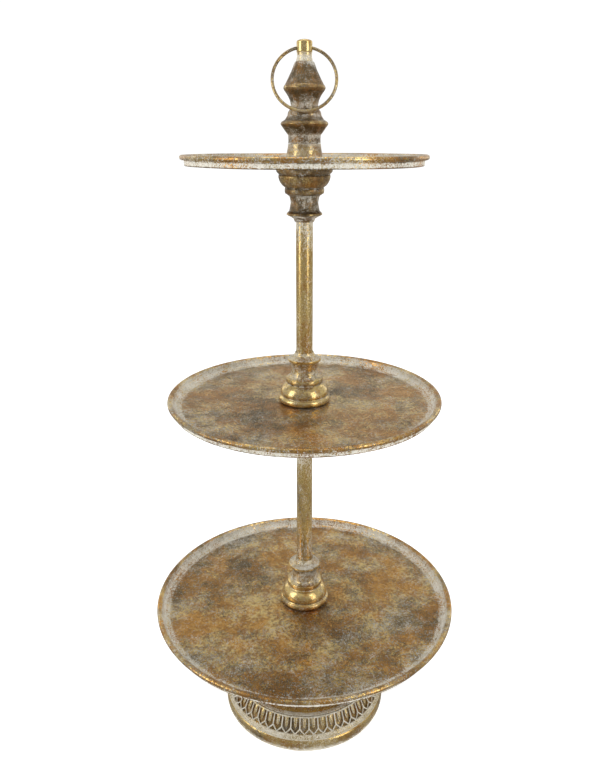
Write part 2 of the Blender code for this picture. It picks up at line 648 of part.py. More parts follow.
def main():
    clear_scene()
    make_base_ring()
    make_gallery()
    make_pedestal()
    make_tray("tray_bottom", TRAY_BOTTOM_R, TRAY_BOTTOM_TOP_Z)
    make_tray("tray_middle", TRAY_MIDDLE_R, TRAY_MIDDLE_TOP_Z)
    make_tray("tray_top", TRAY_TOP_R, TRAY_TOP_TOP_Z)
    middle_underside_z = TRAY_MIDDLE_TOP_Z - TRAY_DEPTH
    top_underside_z = TRAY_TOP_TOP_Z - TRAY_DEPTH
    make_collar("collar_bottom", tray_floor_z(TRAY_BOTTOM_TOP_Z), upright=True)
    make_collar("collar_under_middle", middle_underside_z, upright=False)
    make_collar("collar_middle", tray_floor_z(TRAY_MIDDLE_TOP_Z), upright=True)
    make_collar("collar_under_top", top_underside_z, upright=False)
    make_tube("tube_lower", tray_floor_z(TRAY_BOTTOM_TOP_Z), middle_underside_z)
    make_tube("tube_upper", tray_floor_z(TRAY_MIDDLE_TOP_Z), top_underside_z)
    make_finial_seat()
    make_finial_body()
    make_knob()
    make_ring_handle()
    make_fasteners()


main()
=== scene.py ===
import math

import bpy
import numpy as np
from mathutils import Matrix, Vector
from mathutils.geometry import tessellate_polygon


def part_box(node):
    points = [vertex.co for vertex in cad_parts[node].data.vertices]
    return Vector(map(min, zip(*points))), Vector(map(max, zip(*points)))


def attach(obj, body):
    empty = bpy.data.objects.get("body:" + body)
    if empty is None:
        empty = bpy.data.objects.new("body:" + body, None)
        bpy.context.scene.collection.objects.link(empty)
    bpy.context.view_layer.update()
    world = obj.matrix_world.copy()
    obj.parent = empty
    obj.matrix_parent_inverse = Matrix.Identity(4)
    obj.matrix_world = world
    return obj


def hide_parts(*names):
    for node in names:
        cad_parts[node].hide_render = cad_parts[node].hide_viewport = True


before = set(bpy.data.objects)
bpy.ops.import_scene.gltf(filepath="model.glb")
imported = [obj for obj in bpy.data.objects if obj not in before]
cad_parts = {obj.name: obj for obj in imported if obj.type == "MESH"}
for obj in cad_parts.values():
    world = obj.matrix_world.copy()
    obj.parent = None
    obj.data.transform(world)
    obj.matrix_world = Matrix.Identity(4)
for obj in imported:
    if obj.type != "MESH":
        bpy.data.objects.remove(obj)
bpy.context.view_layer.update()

# ---------------------------------------------------------------------------------------------
# Stage. A pale floor in an even studio: two tall softboxes either side of the camera, a wide one
# overhead and two weaker ones behind. The studio is grey where metal reflects it, and white where
# it is seen.

CAMERA_PLACE = (0.0, -0.7398, 0.6742)
CAMERA_DOWN = 0.2782
CAMERA_LENS = 32.04
CAMERA_SENSOR = 36.0
CAMERA_SHIFT = (-0.0025, -0.0621)
CAMERA_CLIP = 0.01
MID_HEIGHT = (0.0, 0.0, 0.40)
FLOOR_R = 14.0
FLOOR_SIDES = 96

camera_data = bpy.data.cameras.new("camera")
camera_data.lens = CAMERA_LENS
camera_data.sensor_width = CAMERA_SENSOR
camera_data.shift_x, camera_data.shift_y = CAMERA_SHIFT
camera_data.clip_start = CAMERA_CLIP
camera = bpy.data.objects.new("camera", camera_data)
camera.location = CAMERA_PLACE
camera.rotation_euler = (math.pi / 2 - CAMERA_DOWN, 0.0, 0.0)
bpy.context.scene.collection.objects.link(camera)
bpy.context.scene.camera = camera
bpy.context.scene.view_settings.view_transform = "Standard"


def softbox(name, place, aim, width, height, watts):
    """A rectangular lamp of the given size in metres, turned to face its aim."""
    light = bpy.data.lights.new(name, "AREA")
    light.shape = "RECTANGLE"
    light.size = width
    light.size_y = height
    light.energy = watts
    lamp = bpy.data.objects.new(name, light)
    lamp.location = place
    lamp.rotation_euler = (Vector(aim) - Vector(place)).to_track_quat("-Z", "Y").to_euler()
    bpy.context.scene.collection.objects.link(lamp)


softbox("softbox_left", (-1.55, -0.65, 0.95), MID_HEIGHT, 0.70, 1.50, 9.5)
softbox("softbox_right", (1.20, -1.15, 0.95), MID_HEIGHT, 0.60, 1.50, 7.8)
softbox("softbox_top", (0.0, 0.30, 2.20), (0.0, 0.0, 0.0), 1.60, 1.20, 10.0)
softbox("softbox_back_left", (-1.35, 1.30, 1.00), MID_HEIGHT, 0.35, 1.40, 1.6)
softbox("softbox_back_right", (1.35, 1.30, 1.00), MID_HEIGHT, 0.35, 1.40, 1.6)


class Wire:
    """An output socket. Arithmetic on it adds Math nodes, and add() puts in any other node."""

    def __init__(self, tree, socket=None):
        self.tree = tree
        self.socket = socket

    def add(self, kind, settings=None, sockets=None, output=0):
        node = self.tree.nodes.new(kind)
        for name, value in (settings or {}).items():
            setattr(node, name, value)
        for key, value in (sockets or {}).items():
            if isinstance(value, Wire):
                self.tree.links.new(value.socket, node.inputs[key])
            else:
                node.inputs[key].default_value = value
        return Wire(self.tree, node.outputs[output])

    def math(self, operation, *values):
        return self.add("ShaderNodeMath", {"operation": operation}, dict(enumerate(values)))

    def __add__(self, other):
        return self.math("ADD", self, other)

    def __radd__(self, other):
        return self.math("ADD", other, self)

    def __sub__(self, other):
        return self.math("SUBTRACT", self, other)

    def __rsub__(self, other):
        return self.math("SUBTRACT", other, self)

    def __mul__(self, other):
        return self.math("MULTIPLY", self, other)

    def step(self, low, high):
        """0 below low, 1 above high, and an even ease between them."""
        sockets = {"Value": self, "From Min": low, "From Max": high}
        return self.add("ShaderNodeMapRange", {"interpolation_type": "SMOOTHSTEP"}, sockets)

    def tint(self, low_colour, high_colour):
        """The first colour where this is 0, the second where it is 1. Either may be a wire."""
        sockets = {0: self, 6: rgba(low_colour), 7: rgba(high_colour)}
        return self.add("ShaderNodeMix", {"data_type": "RGBA"}, sockets, output=2)


def rgba(colour):
    """A colour with full opacity. A wire is passed on as it is."""
    return colour if isinstance(colour, Wire) else (*colour, 1.0)


def noise(place, scale, detail, roughness=0.5, distortion=0.0):
    """Noise about 0.5 on a place, with its scale in cycles a metre."""
    sockets = {"Vector": place, "Scale": scale, "Detail": detail, "Roughness": roughness}
    sockets["Distortion"] = distortion
    return place.add("ShaderNodeTexNoise", {}, sockets)


def new_material(name):
    """A material with only a Principled shader, and a wire to start its nodes from."""
    made = bpy.data.materials.new(name)
    made.use_nodes = True
    return made, made.node_tree.nodes["Principled BSDF"], Wire(made.node_tree)


def feed(shader, **sockets):
    """Sets or links the shader's sockets, whose names are given with _ for each space."""
    for name, value in sockets.items():
        socket = shader.inputs[name.replace("_", " ")]
        if isinstance(value, Wire):
            value.tree.links.new(value.socket, socket)
        else:
            socket.default_value = value


def round_floor(name, height, tone, glow):
    """A round sheet of studio floor, tinted a little unevenly, with its own faint glow."""
    made, shader, wire = new_material(name)
    place = wire.add("ShaderNodeTexCoord", output=3)
    lighter = tuple(1.02 * part for part in tone)
    feed(shader, Base_Color=noise(place, 3.0, 2.0).tint(tone, lighter), Roughness=0.9)
    feed(shader, Emission_Color=(1.0, 1.0, 1.0, 1.0), Emission_Strength=glow)
    bearings = [math.tau * step / FLOOR_SIDES for step in range(FLOOR_SIDES)]
    points = [(FLOOR_R * math.cos(angle), FLOOR_R * math.sin(angle), height) for angle in bearings]
    mesh = bpy.data.meshes.new(name)
    mesh.from_pydata(points, [], [tuple(range(FLOOR_SIDES))])
    mesh.materials.append(made)
    sheet = bpy.data.objects.new(name, mesh)
    bpy.context.scene.collection.objects.link(sheet)
    return sheet


# The pale floor is what is seen. A grey sheet under it is what the polished brass reflects.
FLOOR_TONE = (0.90, 0.90, 0.90)
FLOOR_GLOW = 0.62
SHEET_TONE = (0.30, 0.285, 0.26)
floor = round_floor("studio_floor", -0.0002, FLOOR_TONE, FLOOR_GLOW)
floor.visible_glossy = False
grey_sheet = round_floor("studio_grey_sheet", -0.004, SHEET_TONE, 0.0)
grey_sheet.visible_camera = False
grey_sheet.visible_diffuse = False
grey_sheet.visible_shadow = False

# The studio is dim in front of the stand and brighter behind it and overhead.
FRONT_GREY = (0.30, 0.30, 0.31)
BACK_GREY = (0.72, 0.72, 0.72)
CEILING_GREY = (0.62, 0.62, 0.62)
SEEN_WHITE = (1.05, 1.05, 1.05)
studio = bpy.data.worlds.new("studio")
studio.use_nodes = True
bpy.context.scene.world = studio
studio_wire = Wire(studio.node_tree)
seen = studio_wire.add("ShaderNodeLightPath", output=0)
toward = studio_wire.add("ShaderNodeTexCoord", output=0)
depth = toward.add("ShaderNodeSeparateXYZ", {}, {0: toward}, output=1)
rise = toward.add("ShaderNodeSeparateXYZ", {}, {0: toward}, output=2)
wall_light = depth.step(-0.8, 0.5).tint(FRONT_GREY, BACK_GREY)
wall_light = rise.step(0.1, 0.9).tint(wall_light, CEILING_GREY)
studio.node_tree.links.new(seen.tint(wall_light, SEEN_WHITE).socket,
                           studio.node_tree.nodes["Background"].inputs["Color"])

# ---------------------------------------------------------------------------------------------
# Trays. Each is spun from one sheet: a flat floor, a coved wall and a rolled bead at the rim.
# The brass is antiqued brown, rubbed with a white wash that stays in the cove and on the outer
# wall, and worn back to bright gold on the bead.

MM = 0.001
TURN_SIDES = 192
SUPPORT = 0.45
STRAIGHT = 0.495 * math.pi
FILLET_STEP = 9.0
SHARP_EDGE = 40.0
RIM_RIPPLE = 0.35
BEAD_R = 2.6
TRAY_FLOOR = -9.0
TRAY_UNDERSIDE = -11.0
COVE_R = 7.7
COVE_INSET = 14.0
ROD_HOLE_R = 4.3


def arc(centre_r, centre_z, radius, start, end, wash, wear_and_shade, steps=10):
    """Outline corners along an arc in the (radius, height) plane, in millimetres and degrees."""
    corners = []
    for step in range(steps + 1):
        angle = math.radians(start + (end - start) * step / steps)
        corners.append((centre_r + radius * math.cos(angle), centre_z + radius * math.sin(angle),
                        0.0, wash, wear_and_shade))
    return corners


def filleted(corners, closed):
    """Outline points, with each corner's fillet as an arc and support points on long sides.

    A corner is (radius, height, fillet, wash, wear). A fillet is limited by the sides beside it.
    """
    points = []
    count = len(corners)
    for index, corner in enumerate(corners):
        here = Vector(corner[:2])
        before = Vector(corners[index - 1][:2]) - here
        after = Vector(corners[(index + 1) % count][:2]) - here
        half_angle = 0.5 * before.angle(after)
        ends = not closed and index in (0, count - 1)
        if corner[2] == 0.0 or ends or half_angle > STRAIGHT:
            points.append((here.x, here.y, *corner[3:]))
            continue
        reach = min(corner[2] / math.tan(half_angle), 0.48 * before.length, 0.48 * after.length)
        radius = reach * math.tan(half_angle)
        middle = (before.normalized() + after.normalized()).normalized()
        centre = here + middle * radius / math.sin(half_angle)
        first = (here + before.normalized() * reach - centre).normalized()
        last = (here + after.normalized() * reach - centre).normalized()
        steps = max(2, math.ceil(math.degrees(math.pi - 2.0 * half_angle) / FILLET_STEP))
        for step in range(steps + 1):
            spoke = first.slerp(last, step / steps) * radius
            points.append((centre.x + spoke.x, centre.y + spoke.y, *corner[3:]))
    supported = []
    for index in range(len(points) if closed else len(points) - 1):
        here = np.array(points[index])
        there = np.array(points[(index + 1) % len(points)])
        length = np.hypot(*(there - here)[:2])
        supported.append(here)
        if length > 3.0 * SUPPORT:
            share = SUPPORT / length
            supported.append(here + (there - here) * share)
            supported.append(there + (here - there) * share)
    if not closed:
        supported.append(np.array(points[-1]))
    return np.array(supported)


def turned(name, corners, sides, seat=0.0, upside_down=False, ripple=0.0):
    """A turned piece about Z. Its outline runs down the outer side and back up the inside.

    ripple is how far the rim waves up and down, in millimetres, as hand-spun sheet does.
    """
    on_axis = corners[0][0] == 0.0 and corners[-1][0] == 0.0
    outline = filleted(corners, closed=not on_axis)
    vertices = []
    rows = []
    levels = []
    for radius, height, wash, wear_and_shade in outline:
        around = 1 if radius < 1e-6 else sides
        rows.append([len(vertices) + step % around for step in range(sides)])
        for step in range(around):
            angle = math.tau * step / sides
            vertices.append((radius * math.cos(angle), radius * math.sin(angle), height))
            levels.append((wash, wear_and_shade))
    faces = []
    following = range(1, len(rows) + (0 if on_axis else 1))
    for above, following_row in zip(rows, following):
        below = rows[following_row % len(rows)]
        for step in range(sides):
            after = (step + 1) % sides
            quad = [above[step], below[step], below[after], above[after]]
            corners_used = list(dict.fromkeys(quad))
            if len(corners_used) > 2:
                faces.append(corners_used)
    points = np.array(vertices) * MM
    reach = np.hypot(points[:, 0], points[:, 1])
    bearing = np.arctan2(points[:, 1], points[:, 0])
    wave = 0.6 * np.sin(2.0 * bearing + 0.7) + 0.4 * np.sin(5.0 * bearing + 2.0)
    points[:, 2] += ripple * MM * wave * (reach / reach.max()) ** 4
    if upside_down:
        points = points * (1.0, -1.0, -1.0)
    points[:, 2] += seat
    mesh = bpy.data.meshes.new(name)
    mesh.from_pydata(points.tolist(), [], faces)
    write_levels(mesh, levels)
    mesh.shade_smooth()
    mesh.set_sharp_from_angle(angle=math.radians(SHARP_EDGE))
    piece = bpy.data.objects.new(name, mesh)
    bpy.context.scene.collection.objects.link(piece)
    return piece


def write_levels(mesh, levels):
    """How much white wash a point holds, from 0 to 1, and its wear, from -1 dark to 1 bright.
    The dark end is painted shade in the groove under a tray's bead, behind the foot's band and on
    collars under a tray, and tarnish in the other hollows.
    """
    table = np.array(levels, np.float32)
    for column, word in enumerate(("wash", "wear_and_shade")):
        attribute = mesh.attributes.new(word, "FLOAT", "POINT")
        attribute.data.foreach_set("value", np.ascontiguousarray(table[:, column]))


def stand_for(piece, material, node, body="stand"):
    """The piece takes the place of a node of the frame, with its material and body."""
    piece.data.materials.append(material)
    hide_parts(node)
    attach(piece, body)


GOLD = (0.78, 0.585, 0.24)
ORANGE = (0.60, 0.33, 0.09)
BROWN = (0.27, 0.170, 0.078)
ORANGE_BROWN = (0.33, 0.165, 0.046)
SOOT_AND_SHADE = (0.085, 0.066, 0.034)
# The darkest tone, for sooty blotches and for painted shade.
CHALK = (0.80, 0.775, 0.685)
GREY_CHALK = (0.43, 0.405, 0.335)


def patina(name, tarnish_and_shade=0.0, chalk=0.0, size=1.0, stretch=1.0, gloss=0.24, spots=1.2,
           warmth=-0.14, seed=0.0):
    """Antiqued brass. Brown tarnish and chalky wash gather by noise and by the mesh's levels,
    whose darkest values are painted shade in some places.

    tarnish and chalk shift how much of each there is, and tarnish also brings painted shade to a
    collar under a tray. size scales the blotches, stretch draws them out along Z, gloss is the
    roughness of the bare metal, spots breaks up the wash, and warmth shifts how much of the
    metal has turned orange.
    """
    made, shader, wire = new_material(name)
    place = wire.add("ShaderNodeTexCoord", output=3)
    sockets = {"Vector": place, "Location": (seed, 0.37 * seed, 0.61 * seed)}
    sockets["Scale"] = (1.0 / size, 1.0 / size, 1.0 / (size * stretch))
    place = place.add("ShaderNodeMapping", {}, sockets)
    aside = place.add("ShaderNodeMapping", {}, {"Vector": place, "Location": (3.1, 1.7, 5.3)})
    wash_level = wire.add("ShaderNodeAttribute", {"attribute_name": "wash"}, output=2)
    wear_and_shade_level = wire.add("ShaderNodeAttribute", {"attribute_name": "wear_and_shade"}, output=2)
    cloud = noise(place, 15.0, 3.0, 0.6, 0.2) - 0.5
    blotch = noise(place, 60.0, 5.0, 0.7) - 0.5
    speck = noise(place, 270.0, 3.0, 0.7) - 0.5
    grain = noise(place, 1000.0, 2.0, 0.6) - 0.5
    drift = noise(aside, 22.0, 5.0, 0.65, 0.2) - 0.5
    patch = noise(aside, 85.0, 5.0, 0.7) - 0.5
    fleck = noise(aside, 460.0, 3.0, 0.7) - 0.5
    # brown and dark follow noise for tarnish and soot, and also the levels, whose darkest values
    # are painted shade in grooves, behind the band and under the trays.
    brown = cloud * 1.3 + blotch * 1.5 + speck * 2.3 + grain * 2.8 - wear_and_shade_level * 0.32 + tarnish_and_shade
    brown = brown.step(-0.28, 0.28)
    warm = (drift * 2.4 + patch * 1.2 + speck * 0.8 + warmth).step(-0.20, 0.35)
    dark = cloud * 1.7 - drift * 1.2 - patch * 1.0 + fleck * 2.6 + grain * 2.2 - wear_and_shade_level * 0.30
    dark = (dark + tarnish_and_shade * 0.6).step(0.06, 0.48)
    metal = warm.tint(GOLD, ORANGE)
    metal = brown.tint(metal, warm.tint(BROWN, ORANGE_BROWN))
    metal = (dark * 0.88).tint(metal, SOOT_AND_SHADE)
    washed = wash_level - drift * 1.9 + patch * spots + fleck * 3.4 + grain * 3.4 + (chalk - 0.5)
    washed = washed.step(-0.14, 0.40) * (0.64 + wash_level * 0.32)
    whiteness = grain * 2.2 + speck * 1.4 + patch * 1.6 + wash_level * 0.35 + 0.36
    colour = washed.tint(metal, whiteness.step(0.0, 1.0).tint(GREY_CHALK, CHALK))
    rough = brown * 0.16 + dark * 0.12 + washed * 0.42 + grain * 0.35 + gloss
    relief = speck * 0.5 + grain * 0.3 + washed * 0.4
    bump_sockets = {"Strength": 0.4, "Distance": 0.22 * MM, "Height": relief}
    bump = relief.add("ShaderNodeBump", {}, bump_sockets)
    feed(shader, Base_Color=colour, Metallic=0.97 - washed * 0.92 - brown * 0.16, Roughness=rough)
    feed(shader, Normal=bump)
    return made


def tray_corners(radius):
    """Rim, underside and floor of a tray, with the rim's top at height 0."""
    corners = arc(radius - BEAD_R, -BEAD_R, BEAD_R, 130.0, -125.0, 0.20, 0.15, 22)
    # The groove under the bead is set darkest: painted shade under the bead.
    corners += [(radius - 4.4, -5.4, 0.6, 0.4, -0.9), (radius - 4.5, -6.4, 0.0, 0.95, 0.0)]
    corners += [(radius - 4.7, -9.6, 0.0, 0.95, 0.0)]
    corners += [(radius - 4.9, TRAY_UNDERSIDE, 1.9, 0.15, -0.7)]
    corners += [(ROD_HOLE_R, TRAY_UNDERSIDE, 0.0, 0.35, 0.0)]
    corners += [(ROD_HOLE_R, TRAY_FLOOR, 0.0, 0.1, -0.3), (40.0, TRAY_FLOOR, 0.0, 0.13, -0.05)]
    corners += [(radius - 40.0, TRAY_FLOOR, 0.0, 0.20, -0.1)]
    corners += [(radius - 21.0, TRAY_FLOOR, 0.0, 0.2, -0.4)]
    corners += [(radius - 16.0, TRAY_FLOOR, 0.0, 0.36, -0.55)]
    cove = (radius - COVE_INSET, TRAY_FLOOR + COVE_R, COVE_R)
    corners += arc(*cove, -90.0, -62.0, 0.76, -0.2, 4)
    corners += arc(*cove, -54.0, -6.0, 0.98, 0.0, 6)
    corners += [(radius - 5.9, -1.4, 0.0, 0.6, -0.1)]
    return corners


tray_looks = (("tray_bottom", 3.0, 0.0), ("tray_middle", 7.3, 0.0), ("tray_top", 11.9, 0.05))
for node, seed, chalk in tray_looks:
    low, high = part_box(node)
    tray = turned(node + "_spun", tray_corners(high.x / MM), TURN_SIDES, high.z, ripple=RIM_RIPPLE)
    tray_patina = patina(node + "_patina", 0.12, chalk, warmth=0.08, seed=seed)
    stand_for(tray, tray_patina, node)

# ---------------------------------------------------------------------------------------------
# Collars. Turned bells with a bead, a bulge, a step and a sharp flange. One stands on each lower
# tray and one hangs upside down under each upper tray, all with the tube let into their ends.
# The wash stays on the neck and the cone, and the mouldings are worn bright. The hanging ones
# are given more brown, less wash and less wear: painted shade under the tray.

COLUMN_SIDES = 96
COLLAR_HEIGHT = 57.0
COLLAR_HOLLOW_R = 22.3
COLLAR_FLOOR = 27.6
TUBE_SOCKET_R = 9.4
# A collar that hangs under a tray is painted darker: painted shade under the tray.
UNDER_TRAY_PAINTED_SHADE = 0.46
UNDER_TRAY_SHADE_LESS_CHALK = -0.18
UNDER_TRAY_SHADE_LESS_WEAR = -0.35


def collar_corners():
    """A collar from the lip round the tube down to its seat at height 0, and back up inside."""
    corners = [(10.3, COLLAR_HEIGHT, 0.3, 0.62, 0.0), (11.6, 53.6, 2.5, 0.70, 0.1)]
    corners += [(17.6, 50.2, 0.8, 0.75, 0.1), (18.9, 49.6, 0.5, 0.0, 1.0)]
    corners += [(18.6, 48.0, 0.6, 0.0, 1.0), (16.0, 45.6, 1.5, 0.35, -0.5)]
    corners += [(14.4, 37.0, 8.0, 0.50, 0.2), (15.7, 30.6, 3.0, 0.55, 0.1)]
    corners += [(18.8, 28.4, 0.6, 0.3, 0.3), (20.3, 27.6, 0.7, 0.0, 1.0)]
    corners += [(20.7, 25.0, 1.0, 0.1, 0.7), (20.6, 23.0, 0.5, 0.3, -0.2)]
    corners += [(20.0, 22.2, 0.3, 0.6, -0.8)]
    corners += arc(13.0, 9.5, 14.1, 58.0, 2.0, 0.05, 0.85)
    corners += [(26.5, 8.5, 0.4, 0.3, -0.7)]
    corners += arc(25.3, 4.0, 4.0, 60.0, -55.0, 0.08, 0.55)
    corners += [(25.9, 0.0, 0.2, 0.2, -0.5), (COLLAR_HOLLOW_R, 0.0, 0.2, 0.2, -0.8)]
    corners += [(COLLAR_HOLLOW_R, 9.5, 0.5, 0.2, -0.8), (12.0, COLLAR_FLOOR, 0.5, 0.2, -0.8)]
    corners += [(ROD_HOLE_R, COLLAR_FLOOR, 0.2, 0.2, -0.8), (ROD_HOLE_R, 31.0, 0.2, 0.2, -0.8)]
    corners += [(TUBE_SOCKET_R, 31.0, 0.2, 0.2, -0.8)]
    corners += [(TUBE_SOCKET_R, COLLAR_HEIGHT, 0.2, 0.6, -0.6)]
    return corners


collar_looks = (("collar_bottom", False, 1.4), ("collar_under_middle", True, 2.9),
                ("collar_middle", False, 5.2), ("collar_under_top", True, 8.8))
for node, upside_down, seed in collar_looks:
    low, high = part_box(node)
    seat = high.z if upside_down else low.z
    # Painted shade for a collar under a tray: less wear, more brown and less wash.
    under_tray_shade = UNDER_TRAY_SHADE_LESS_WEAR * upside_down
    corners = [(*corner[:4], corner[4] + under_tray_shade) for corner in collar_corners()]
    collar = turned(node + "_turned", corners, COLUMN_SIDES, seat, upside_down)
    tarnish_and_shade = 0.06 + UNDER_TRAY_PAINTED_SHADE * upside_down
    collar_patina = patina(node + "_patina", tarnish_and_shade, UNDER_TRAY_SHADE_LESS_CHALK * upside_down, size=0.5,
                           gloss=0.2, spots=2.6, seed=seed)
    stand_for(collar, collar_patina, node)

# ---------------------------------------------------------------------------------------------
# Tubes. Plain drawn brass tubes between the collars, brushed lengthwise. The wash is rubbed off
# along the middle and stays towards the ends.

TUBE_R = 9.1
TUBE_BORE_R = 7.9
WASH_RUN = 32.0


def tube_corners(length):
    """A tube from its upper end down to height 0, and back up its bore."""
    corners = [(TUBE_R, length, 0.3, 0.9, -0.2), (TUBE_R, length - WASH_RUN, 0.0, 0.75, 0.0)]
    corners += [(TUBE_R, length - 1.9 * WASH_RUN, 0.0, 0.06, 0.9)]
    corners += [(TUBE_R, 2.2 * WASH_RUN, 0.0, 0.08, 0.8), (TUBE_R, 0.8 * WASH_RUN, 0.0, 0.35, 0.1)]
    corners += [(TUBE_R, 0.0, 0.3, 0.9, -0.2), (TUBE_BORE_R, 0.0, 0.3, 0.3, -0.8)]
    corners += [(TUBE_BORE_R, length, 0.3, 0.3, -0.8)]
    return corners


for node, seed in (("tube_lower", 4.6), ("tube_upper", 6.1)):
    low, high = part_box(node)
    tube = turned(node + "_drawn", tube_corners((high.z - low.z) / MM), COLUMN_SIDES, low.z)
    tube_patina = patina(node + "_patina", -0.16, size=0.6, stretch=2.6, spots=1.6, seed=seed)
    stand_for(tube, tube_patina, node)

# ---------------------------------------------------------------------------------------------
# Finial. A flared seat on the top tray, a turned double cone with two bright rolled edges, and a
# polished knob whose cross hole carries the ring.

SEAT_HEIGHT = 19.4
BODY_HEIGHT = 77.5
KNOB_HEIGHT = 20.7
KNOB_R = 7.9
RING_AXIS_DROP = 7.7
RING_HOLE_R = 2.4
JOINT_GAP = 0.3
SEAT_INSIDE = 13.4
BODY_SPIGOT_R = 14.0
KNOB_SPIGOT_R = 8.2
ROD_HOLE_TOP = 30.3
DRILL_REACH = 12.0
DRILL_SIDES = 32

seat_corners = [(16.8, SEAT_HEIGHT, 0.3, 0.9, 0.0), (17.1, 15.4, 2.0, 0.5, 0.3)]
seat_corners += [(18.1, 10.4, 3.0, 0.4, 0.4), (19.2, 5.4, 1.0, 0.7, 0.0)]
seat_corners += arc(19.0, 2.5, 2.5, 80.0, -60.0, 0.3, 0.5, 8)
seat_corners += [(19.0, 0.0, 0.2, 0.3, -0.5), (15.5, 0.0, 0.2, 0.2, -0.8)]
seat_corners += [(12.4, SEAT_INSIDE, 0.3, 0.2, -0.8), (ROD_HOLE_R, SEAT_INSIDE, 0.2, 0.2, -0.8)]
seat_corners += [(ROD_HOLE_R, SEAT_HEIGHT, 0.2, 0.2, -0.8)]

body_corners = [(0.0, BODY_HEIGHT, 0.0, 0.5, -0.3), (9.8, BODY_HEIGHT, 0.3, 0.8, -0.1)]
body_corners += [(12.6, 70.1, 20.0, 0.30, -0.7), (16.2, 62.7, 20.0, 0.20, -0.7)]
body_corners += [(19.6, 56.3, 1.2, 0.10, 0.0), (20.6, 55.2, 0.5, 0.0, 1.0)]
body_corners += [(21.3, 53.2, 1.3, 0.0, 1.0), (20.5, 51.2, 0.6, 0.0, 0.8)]
body_corners += [(19.2, 49.5, 0.6, 0.1, -0.7), (16.6, 45.7, 8.0, 0.22, -0.7)]
body_corners += [(14.6, 41.5, 8.0, 0.6, -0.3), (13.8, 37.4, 5.0, 0.8, 0.0)]
body_corners += [(14.2, 33.6, 2.5, 0.5, -0.3), (16.6, 30.4, 1.5, 0.3, 0.3)]
body_corners += [(17.4, 26.8, 2.0, 0.6, 0.0), (19.9, 23.0, 2.0, 0.25, -0.7)]
body_corners += [(23.4, 20.9, 0.5, 0.0, 0.9), (24.4, 18.9, 1.2, 0.0, 1.0)]
body_corners += [(23.3, 17.1, 0.6, 0.0, 0.7), (21.7, 15.0, 1.0, 0.2, -0.7)]
body_corners += [(18.9, 11.0, 2.0, 0.35, -0.6), (17.1, 8.6, 0.5, 0.8, 0.0)]
body_corners += [(16.6, 8.0, 0.4, 0.9, 0.0), (16.4, 2.3, 2.0, 0.5, 0.2)]
body_corners += [(16.7, 0.0, 0.3, 0.9, 0.0), (BODY_SPIGOT_R, 0.0, 0.0, 0.9, 0.0)]
body_corners += [(BODY_SPIGOT_R, -JOINT_GAP, 0.0, 0.9, 0.0)]
body_corners += [(ROD_HOLE_R, -JOINT_GAP, 0.0, 0.2, -0.8)]
body_corners += [(ROD_HOLE_R, ROD_HOLE_TOP, 0.2, 0.2, -0.8), (0.0, ROD_HOLE_TOP, 0.0, 0.2, -0.8)]

knob_corners = [(0.0, KNOB_HEIGHT, 0.0, 0.0, 0.8), (4.4, KNOB_HEIGHT - 0.2, 6.0, 0.0, 0.9)]
knob_corners += [(7.4, KNOB_HEIGHT - 1.4, 1.2, 0.0, 1.0)]
knob_corners += [(KNOB_R, KNOB_HEIGHT - 2.6, 1.0, 0.0, 1.0), (KNOB_R, 9.2, 0.4, 0.0, 0.9)]
knob_corners += [(7.5, 8.3, 0.4, 0.5, -0.5), (7.4, 4.4, 2.0, 0.9, -0.1)]
knob_corners += [(8.3, 0.8, 1.0, 0.85, 0.0), (8.8, 0.0, 0.2, 0.8, 0.0)]
knob_corners += [(KNOB_SPIGOT_R, 0.0, 0.0, 0.8, 0.0), (KNOB_SPIGOT_R, -JOINT_GAP, 0.0, 0.5, -0.5)]
knob_corners += [(0.0, -JOINT_GAP, 0.0, 0.5, -0.5)]


def plain_copy(piece):
    """The piece's evaluated mesh in place of its own, with no modifier left on it."""
    graph = bpy.context.evaluated_depsgraph_get()
    mesh = bpy.data.meshes.new_from_object(piece.evaluated_get(graph))
    piece.modifiers.clear()
    piece.data = mesh


low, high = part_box("finial_seat")
finial_seat = turned("finial_seat_turned", seat_corners, COLUMN_SIDES, low.z)
seat_patina = patina("finial_seat_patina", 0.22, -0.05, size=0.5, spots=2.4, seed=2.2)
stand_for(finial_seat, seat_patina, "finial_seat")
low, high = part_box("finial_body")
finial_body = turned("finial_body_turned", body_corners, COLUMN_SIDES, low.z)
body_patina = patina("finial_body_patina", 0.62, -0.08, size=0.5, spots=2.4, seed=9.4)
stand_for(finial_body, body_patina, "finial_body")
low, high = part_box("finial_knob")
knob = turned("finial_knob_turned", knob_corners, COLUMN_SIDES, low.z)
ring_axis_z = high.z - RING_AXIS_DROP * MM
drill_corners = [(0.0, DRILL_REACH, 0.0, 0.0, -0.8), (RING_HOLE_R, DRILL_REACH, 0.0, 0.0, -0.8)]
drill_corners += [(RING_HOLE_R, -DRILL_REACH, 0.0, 0.0, -0.8), (0.0, -DRILL_REACH, 0.0, 0.0, -0.8)]
drill = turned("ring_drill", drill_corners, DRILL_SIDES)
drill.rotation_euler = (0.0, math.pi / 2, 0.0)
drill.location = (0.0, 0.0, ring_axis_z)
hole = knob.modifiers.new("ring_hole", "BOOLEAN")
hole.operation = "DIFFERENCE"
hole.solver = "EXACT"
hole.object = drill
bpy.context.view_layer.update()
plain_copy(knob)
bpy.data.objects.remove(drill)
knob_patina = patina("finial_knob_polish", -0.10, -0.15, size=0.4, gloss=0.16, seed=1.1)
stand_for(knob, knob_patina, "finial_knob")

# ---------------------------------------------------------------------------------------------
# Ring handle. Round brass wire bent to a ring and closed through the knob's cross hole. It leans
# forward on the finial. The wire is darkened near the knob and worn where a finger takes it.

RING_MEAN_R = 31.8
RING_WIRE_R = 1.6
RING_STEPS = 160
WIRE_STEPS = 16
WIRE_WAVER = 0.03
RING_WASH = 0.22

